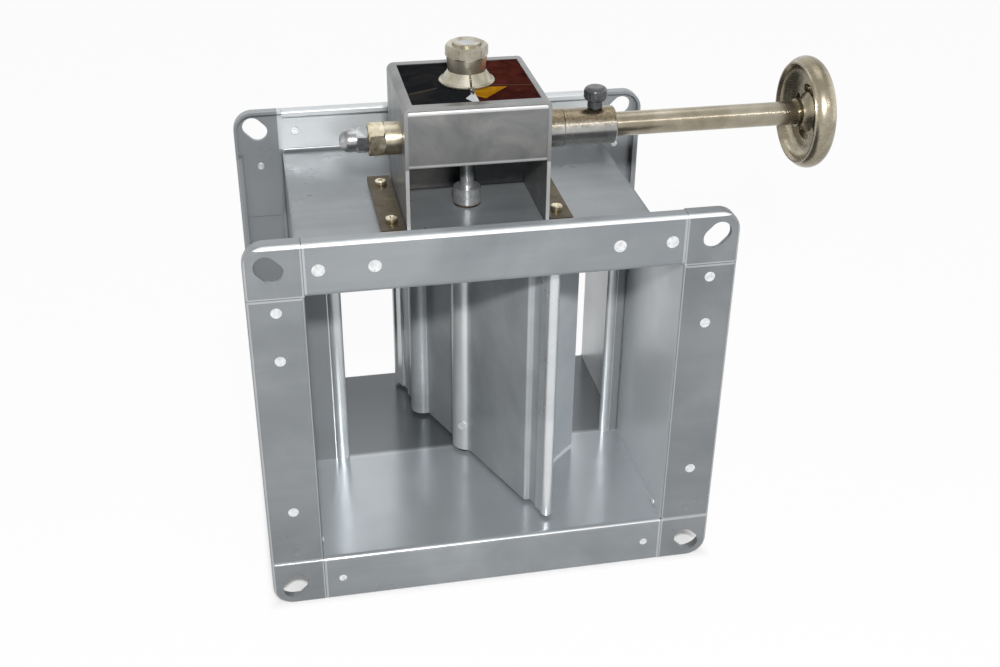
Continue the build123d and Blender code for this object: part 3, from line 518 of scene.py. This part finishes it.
dull_inside = {"inside_tone": (0.30, 0.32, 0.335), "inside_metal": 0.30, "inside_gloss": (0.40, 0.50)}
operator_tones = ((0.120, 0.123, 0.127), (0.172, 0.175, 0.177), (0.245, 0.243, 0.238))
blade_steel = blade_sheet()
rolled_steel = sheet_steel(
    "rolled_edge_steel", ((0.50, 0.525, 0.54), (0.60, 0.625, 0.64), (0.70, 0.725, 0.74)),
    metal=0.65, gloss=(0.26, 0.34))
zinc_steel = turned_steel(
    "bright_zinc_steel", ((0.16, 0.165, 0.17), (0.26, 0.265, 0.27), (0.38, 0.385, 0.385)),
    metal=0.90, gloss=(0.18, 0.30))
bright_zinc = turned_steel(
    "coupling_zinc_steel", ((0.34, 0.35, 0.36), (0.46, 0.47, 0.48), (0.60, 0.61, 0.62)),
    metal=0.75, gloss=(0.26, 0.36))
sleeve = sleeve_nickel()
finishes = {
    "galvanised_sheet": duct_steel("galvanised_duct_steel", **dull_inside),
    "box_steel": box_steel("operator_box_steel", operator_tones),
    "bright_rivet": rivet_aluminium(),
    "zinc_steel": zinc_steel,
    "satin_nickel": champagne_nickel(
        "champagne_nickel", ((0.19, 0.165, 0.115), (0.28, 0.245, 0.18), (0.40, 0.36, 0.28)),
        speckle=0.35, gloss=(0.20, 0.34)),
    "weathered_nickel": weathered_nickel(),
    "brass": satin_brass(
        "satin_brass", ((0.25, 0.215, 0.145), (0.40, 0.360, 0.270), (0.56, 0.520, 0.430))),
    "bronze": satin_brass(
        "bush_bronze", ((0.22, 0.13, 0.05), (0.42, 0.27, 0.12), (0.56, 0.40, 0.20))),
    "passivated_strip": olive_strip(),
    "black_knob": black_moulding(),
    "sign_face": sign_print(),
}
finishes_of_nodes = {
    # Painted light: the roof is painted paler outside.
    "top_panel": duct_steel("roof_steel", **dull_inside, painted_light_level=1.12),
    # Painted shade: the left wall's inside is painted dark.
    "left_panel": duct_steel(
        "left_wall_steel", (0.120, 0.132, 0.141), inside_metal=0.25, inside_gloss=(0.45, 0.55)),
    # Painted light on the right wall's inside, painted shade on its outside.
    "right_panel": duct_steel(
        "right_wall_steel", (0.86, 0.89, 0.91), inside_metal=0.35, inside_gloss=(0.28, 0.40),
        painted_light_level=0.85),
    # Painted light: the floor is painted paler, its inside most; painted shade behind the shaft's
    # plane.
    "bottom_panel": duct_steel(
        "floor_steel", (0.54, 0.58, 0.61), inside_metal=0.48, inside_gloss=(0.18, 0.26),
        painted_shade_behind=0.94, painted_light_level=1.2, inner_bend_highlight=1.0),
    "blade_left_skin": blade_steel,
    "blade_right_skin": blade_steel,
    "guide_vane": sheet_steel(
        "galvanised_vane_steel", ((0.40, 0.44, 0.465), (0.47, 0.51, 0.54), (0.54, 0.58, 0.61)),
        metal=0.22, gloss=(0.34, 0.42)),
    "blade_front_edge_clip": rolled_steel,
    "blade_rear_edge_clip": rolled_steel,
    "left_stop": stop_steel("left_stop_steel", nose_x=0.0846),
    "right_stop": stop_steel("right_stop_steel", nose_x=0.0943),
    "operator_bracket": box_steel(
        "operator_bracket_steel",
        ((0.115, 0.118, 0.122), (0.160, 0.163, 0.165), (0.225, 0.223, 0.218)), bright=leg_edge_highlights),
    "front_cover": box_steel("operator_cover_steel", operator_tones, bright=cover_fold_highlights),
    # Painted shade: the inner wall is painted near black, as the shade inside the box.
    "inner_wall": box_steel(
        "operator_inner_steel",
        ((0.025, 0.028, 0.030), (0.040, 0.043, 0.045), (0.060, 0.064, 0.066))),
    "handwheel_rod": champagne_nickel(
        "rod_nickel", ((0.24, 0.21, 0.155), (0.32, 0.285, 0.22), (0.40, 0.365, 0.295)),
        speckle=0.10, gloss=(0.20, 0.26)),
    "rod_sleeve": sleeve,
    "right_boss": sleeve,
    "lower_bush": zinc_steel,
    "shaft_coupling": bright_zinc,
    "operator_spindle": bright_zinc,
}

for subpart in frame["record"]["subparts"]:
    name = subpart["node"]
    paint(nodes[name], finishes_of_nodes.get(name, finishes[subpart["material_slot"]]))


# Small fasteners, modelled once and copied

def start_piece(name):
    bpy.ops.object.select_all(action="DESELECT")
    piece = bpy.context.object
    piece.name = name
    piece.select_set(True)
    return piece


def select_facing(mesh, direction, share=0.9):
    """Select only the faces that look along a direction."""
    for polygon in mesh.polygons:
        polygon.select = polygon.normal.dot(direction) > share


def cross_head_screw(name, head_radius, head_height, shank_radius, shank_length):
    """A pan head screw with a cross recess, its head's underside at the origin."""
    bpy.ops.object.select_all(action="DESELECT")
    bpy.ops.mesh.primitive_cylinder_add(vertices=32, radius=head_radius, depth=head_height,
                                        location=(0, 0, head_height / 2))
    screw = start_piece(name)
    bpy.ops.object.transform_apply()
    bpy.ops.object.mode_set(mode="EDIT")
    bpy.ops.mesh.select_mode(type="FACE")
    bpy.ops.object.mode_set(mode="OBJECT")

    # The pan head's shoulder and its low crown.
    select_facing(screw.data, Vector((0, 0, 1)))
    bpy.ops.object.mode_set(mode="EDIT")
    bpy.ops.transform.resize(value=(0.90, 0.90, 1.0))
    for inset, rise in ((0.16, 0.16), (0.30, 0.06)):
        bpy.ops.mesh.inset(thickness=head_radius * inset)
        bpy.ops.transform.translate(value=(0, 0, head_height * rise))
    bpy.ops.object.mode_set(mode="OBJECT")

    select_facing(screw.data, Vector((0, 0, -1)))
    bpy.ops.object.mode_set(mode="EDIT")
    bpy.ops.mesh.inset(thickness=head_radius - shank_radius)
    bpy.ops.mesh.extrude_region_move(TRANSFORM_OT_translate={"value": (0, 0, -shank_length)})
    bpy.ops.object.mode_set(mode="OBJECT")

    slots = []
    for turn in (0.0, math.pi / 2):
        bpy.ops.mesh.primitive_cube_add(size=1.0, location=(0, 0, head_height * 1.15),
                                        rotation=(0, 0, turn))
        slot = bpy.context.object
        slot.scale = (head_radius * 1.15, head_radius * 0.26, head_height * 0.9)
        slots.append(slot)
    for slot in slots:
        recess = screw.modifiers.new("recess", "BOOLEAN")
        recess.operation = "DIFFERENCE"
        recess.solver = "EXACT"
        recess.object = slot
        bpy.context.view_layer.objects.active = screw
        bpy.ops.object.modifier_apply(modifier=recess.name)
    for slot in slots:
        bpy.data.objects.remove(slot)

    soften = screw.modifiers.new("soften", "BEVEL")
    soften.width = head_radius * 0.05
    soften.segments = 2
    soften.limit_method = "ANGLE"
    bpy.ops.object.modifier_apply(modifier=soften.name)
    bpy.ops.object.select_all(action="DESELECT")
    screw.select_set(True)
    bpy.ops.object.shade_smooth_by_angle(angle=math.radians(40))
    return screw


def dome_rivet(name, radius, flatness):
    """A dome rivet's head on the plane z = 0, which reaches a little below it."""
    bpy.ops.object.select_all(action="DESELECT")
    bpy.ops.mesh.primitive_uv_sphere_add(segments=24, ring_count=12, radius=radius, location=(0, 0, 0))
    rivet = start_piece(name)
    bpy.ops.object.mode_set(mode="EDIT")
    bpy.ops.mesh.select_all(action="SELECT")
    bpy.ops.mesh.bisect(plane_co=(0, 0, -0.0002), plane_no=(0, 0, 1), clear_inner=True, use_fill=True)
    bpy.ops.mesh.select_all(action="SELECT")
    bpy.ops.transform.resize(value=(1.0, 1.0, flatness))
    bpy.ops.object.mode_set(mode="OBJECT")
    bpy.ops.object.shade_smooth_by_angle(angle=math.radians(40))
    return rivet


def place_copy(model, name, place, turn):
    """A copy with its own mesh, its place in the mesh and the object at the origin."""
    piece = model.copy()
    piece.data = model.data.copy()
    piece.name = name
    bpy.context.collection.objects.link(piece)
    bpy.ops.object.select_all(action="DESELECT")
    bpy.context.view_layer.objects.active = piece
    piece.select_set(True)
    piece.location = place
    piece.rotation_euler = turn
    bpy.ops.object.transform_apply()
    return piece


def foot_screws():
    """The four screws of the operator's feet, each turned by its own angle."""
    low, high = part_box("foot_screws")
    strip_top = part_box("left_foot_strip")[1].z
    head_radius, shank_radius = 0.0038, 0.0020
    crown_share = 1.22
    brass = satin_brass(
        "worn_screw_brass", ((0.40, 0.35, 0.24), (0.62, 0.57, 0.44), (0.82, 0.78, 0.66)))
    model = cross_head_screw("screw_model", head_radius, (high.z - strip_top) / crown_share,
                             shank_radius, strip_top - low.z)
    corners = [(x, y) for x in (low.x + head_radius, high.x - head_radius)
               for y in (low.y + head_radius, high.y - head_radius)]
    for number, (x, y) in enumerate(corners, 1):
        turn = 0.5 + 0.8 * number
        screw = place_copy(model, f"foot_screw_{number}", (x, y, strip_top), (0, 0, turn))
        paint(screw, brass)
        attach(screw, "casing")
        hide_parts("foot_screws")
    bpy.data.objects.remove(model)


def wall_rivets():
    """A small dome rivet low on each side wall, near the front."""
    from_flange, above_floor = 0.0150, 0.0026
    model = dome_rivet("rivet_model", radius=0.0019, flatness=0.55)
    for side, name in ((-1, "left_wall_rivet"), (1, "right_wall_rivet")):
        place = (side * wall_x, from_flange, above_floor - wall_z)
        rivet = place_copy(model, name, place, (0, -side * math.pi / 2, 0))
        paint(rivet, finishes["bright_rivet"])
        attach(rivet, "casing")
    bpy.data.objects.remove(model)


foot_screws()
wall_rivets()


# Studio

def seen_or_mirrored(tree):
    """1 for what the camera sees directly or in a reflection, and 0 for its light."""
    path = tree.nodes.new("ShaderNodeLightPath")
    either = tree.nodes.new("ShaderNodeMath")
    either.operation = "MAXIMUM"
    tree.links.new(path.outputs["Is Camera Ray"], either.inputs[0])
    tree.links.new(path.outputs["Is Glossy Ray"], either.inputs[1])
    return either.outputs["Value"]


def studio_floor():
    """A white floor that keeps its real shadow under the casing."""
    bpy.ops.object.select_all(action="DESELECT")
    bpy.ops.mesh.primitive_plane_add(size=8.0, location=(0, 0, cad_low.z))
    floor = bpy.context.object
    floor.name = "studio_floor"
    f = Finish("studio_floor_white", (0.86, 0.86, 0.86), 0.0, 0.9)
    f.shader.inputs["Specular IOR Level"].default_value = 0.1
    x, y = f.axes()[:2]
    within, without = -0.006, 0.004
    beside = f.span(f.size(x), flange_x + within, flange_x + without, 0.0, 1.0)
    beyond = f.span(f.apart(y, axis_y), axis_y + within, axis_y + without, 0.0, 1.0)
    under_share, open_share = 0.05, 0.90
    share = f.total(under_share, f.both(f.either(beside, beyond), open_share))
    white = f.nodes.new("ShaderNodeEmission")
    mix = f.nodes.new("ShaderNodeMixShader")
    f.links.new(f.both(seen_or_mirrored(f.material.node_tree), share), mix.inputs["Fac"])
    f.links.new(f.shader.outputs["BSDF"], mix.inputs[1])
    f.links.new(white.outputs["Emission"], mix.inputs[2])
    f.links.new(mix.outputs["Shader"], f.nodes["Material Output"].inputs["Surface"])
    floor.data.materials.append(f.material)


def studio_world():
    """A white surround to the eye that adds only a faint light of its own."""
    world = bpy.data.worlds.new("studio_world")
    bpy.context.scene.world = world
    world.use_nodes = True
    tree = world.node_tree
    faint = tree.nodes["Background"]
    faint.inputs["Color"].default_value = (0.94, 0.97, 1.0, 1)
    faint.inputs["Strength"].default_value = 0.11
    white = tree.nodes.new("ShaderNodeBackground")
    white.inputs["Color"].default_value = (1, 1, 1, 1)
    white.inputs["Strength"].default_value = 1.0
    mix = tree.nodes.new("ShaderNodeMixShader")
    tree.links.new(seen_or_mirrored(tree), mix.inputs["Fac"])
    tree.links.new(faint.outputs["Background"], mix.inputs[1])
    tree.links.new(white.outputs["Background"], mix.inputs[2])
    tree.links.new(mix.outputs["Shader"], tree.nodes["World Output"].inputs["Surface"])


def softbox(name, place, aim, size, watts, colour=(1, 1, 1)):
    """A flat rectangular lamp that faces the point it aims at."""
    bpy.ops.object.light_add(type="AREA", location=place)
    lamp = bpy.context.object
    lamp.name = name
    lamp.data.shape = "RECTANGLE"
    lamp.data.size, lamp.data.size_y = size
    lamp.data.energy = watts
    lamp.data.color = colour
    away = lamp.location - Vector(aim)
    lamp.rotation_euler = away.to_track_quat("Z", "Y").to_euler()


studio_floor()
studio_world()
front_half, middle = (0.0, 0.08, 0.0), (0.0, axis_y, 0.0)
for lamp in (
        ("key_flash", (-0.10, -0.66, 0.58), front_half, (0.09, 0.05), 7.8, (1.0, 0.99, 0.975)),
        ("rod_strip", (0.30, -1.20, 0.97), front_half, (1.6, 0.08), 4.0, (1.0, 0.985, 0.96)),
        ("top_softbox", (0.1, 0.5, 1.5), (0.0, 0.1, 0.0), (1.0, 1.0), 4.0, (0.97, 0.985, 1.0)),
        ("left_fill", (-1.5, 0.25, 0.35), middle, (1.6, 1.6), 6.0),
        ("right_fill", (1.5, 0.25, 0.35), middle, (1.6, 1.6), 6.0),
        ("rear_fill", (0.0, 1.8, 0.9), (0.0, axis_y, 0.10), (1.6, 1.6), 3.0)):
    softbox(*lamp)
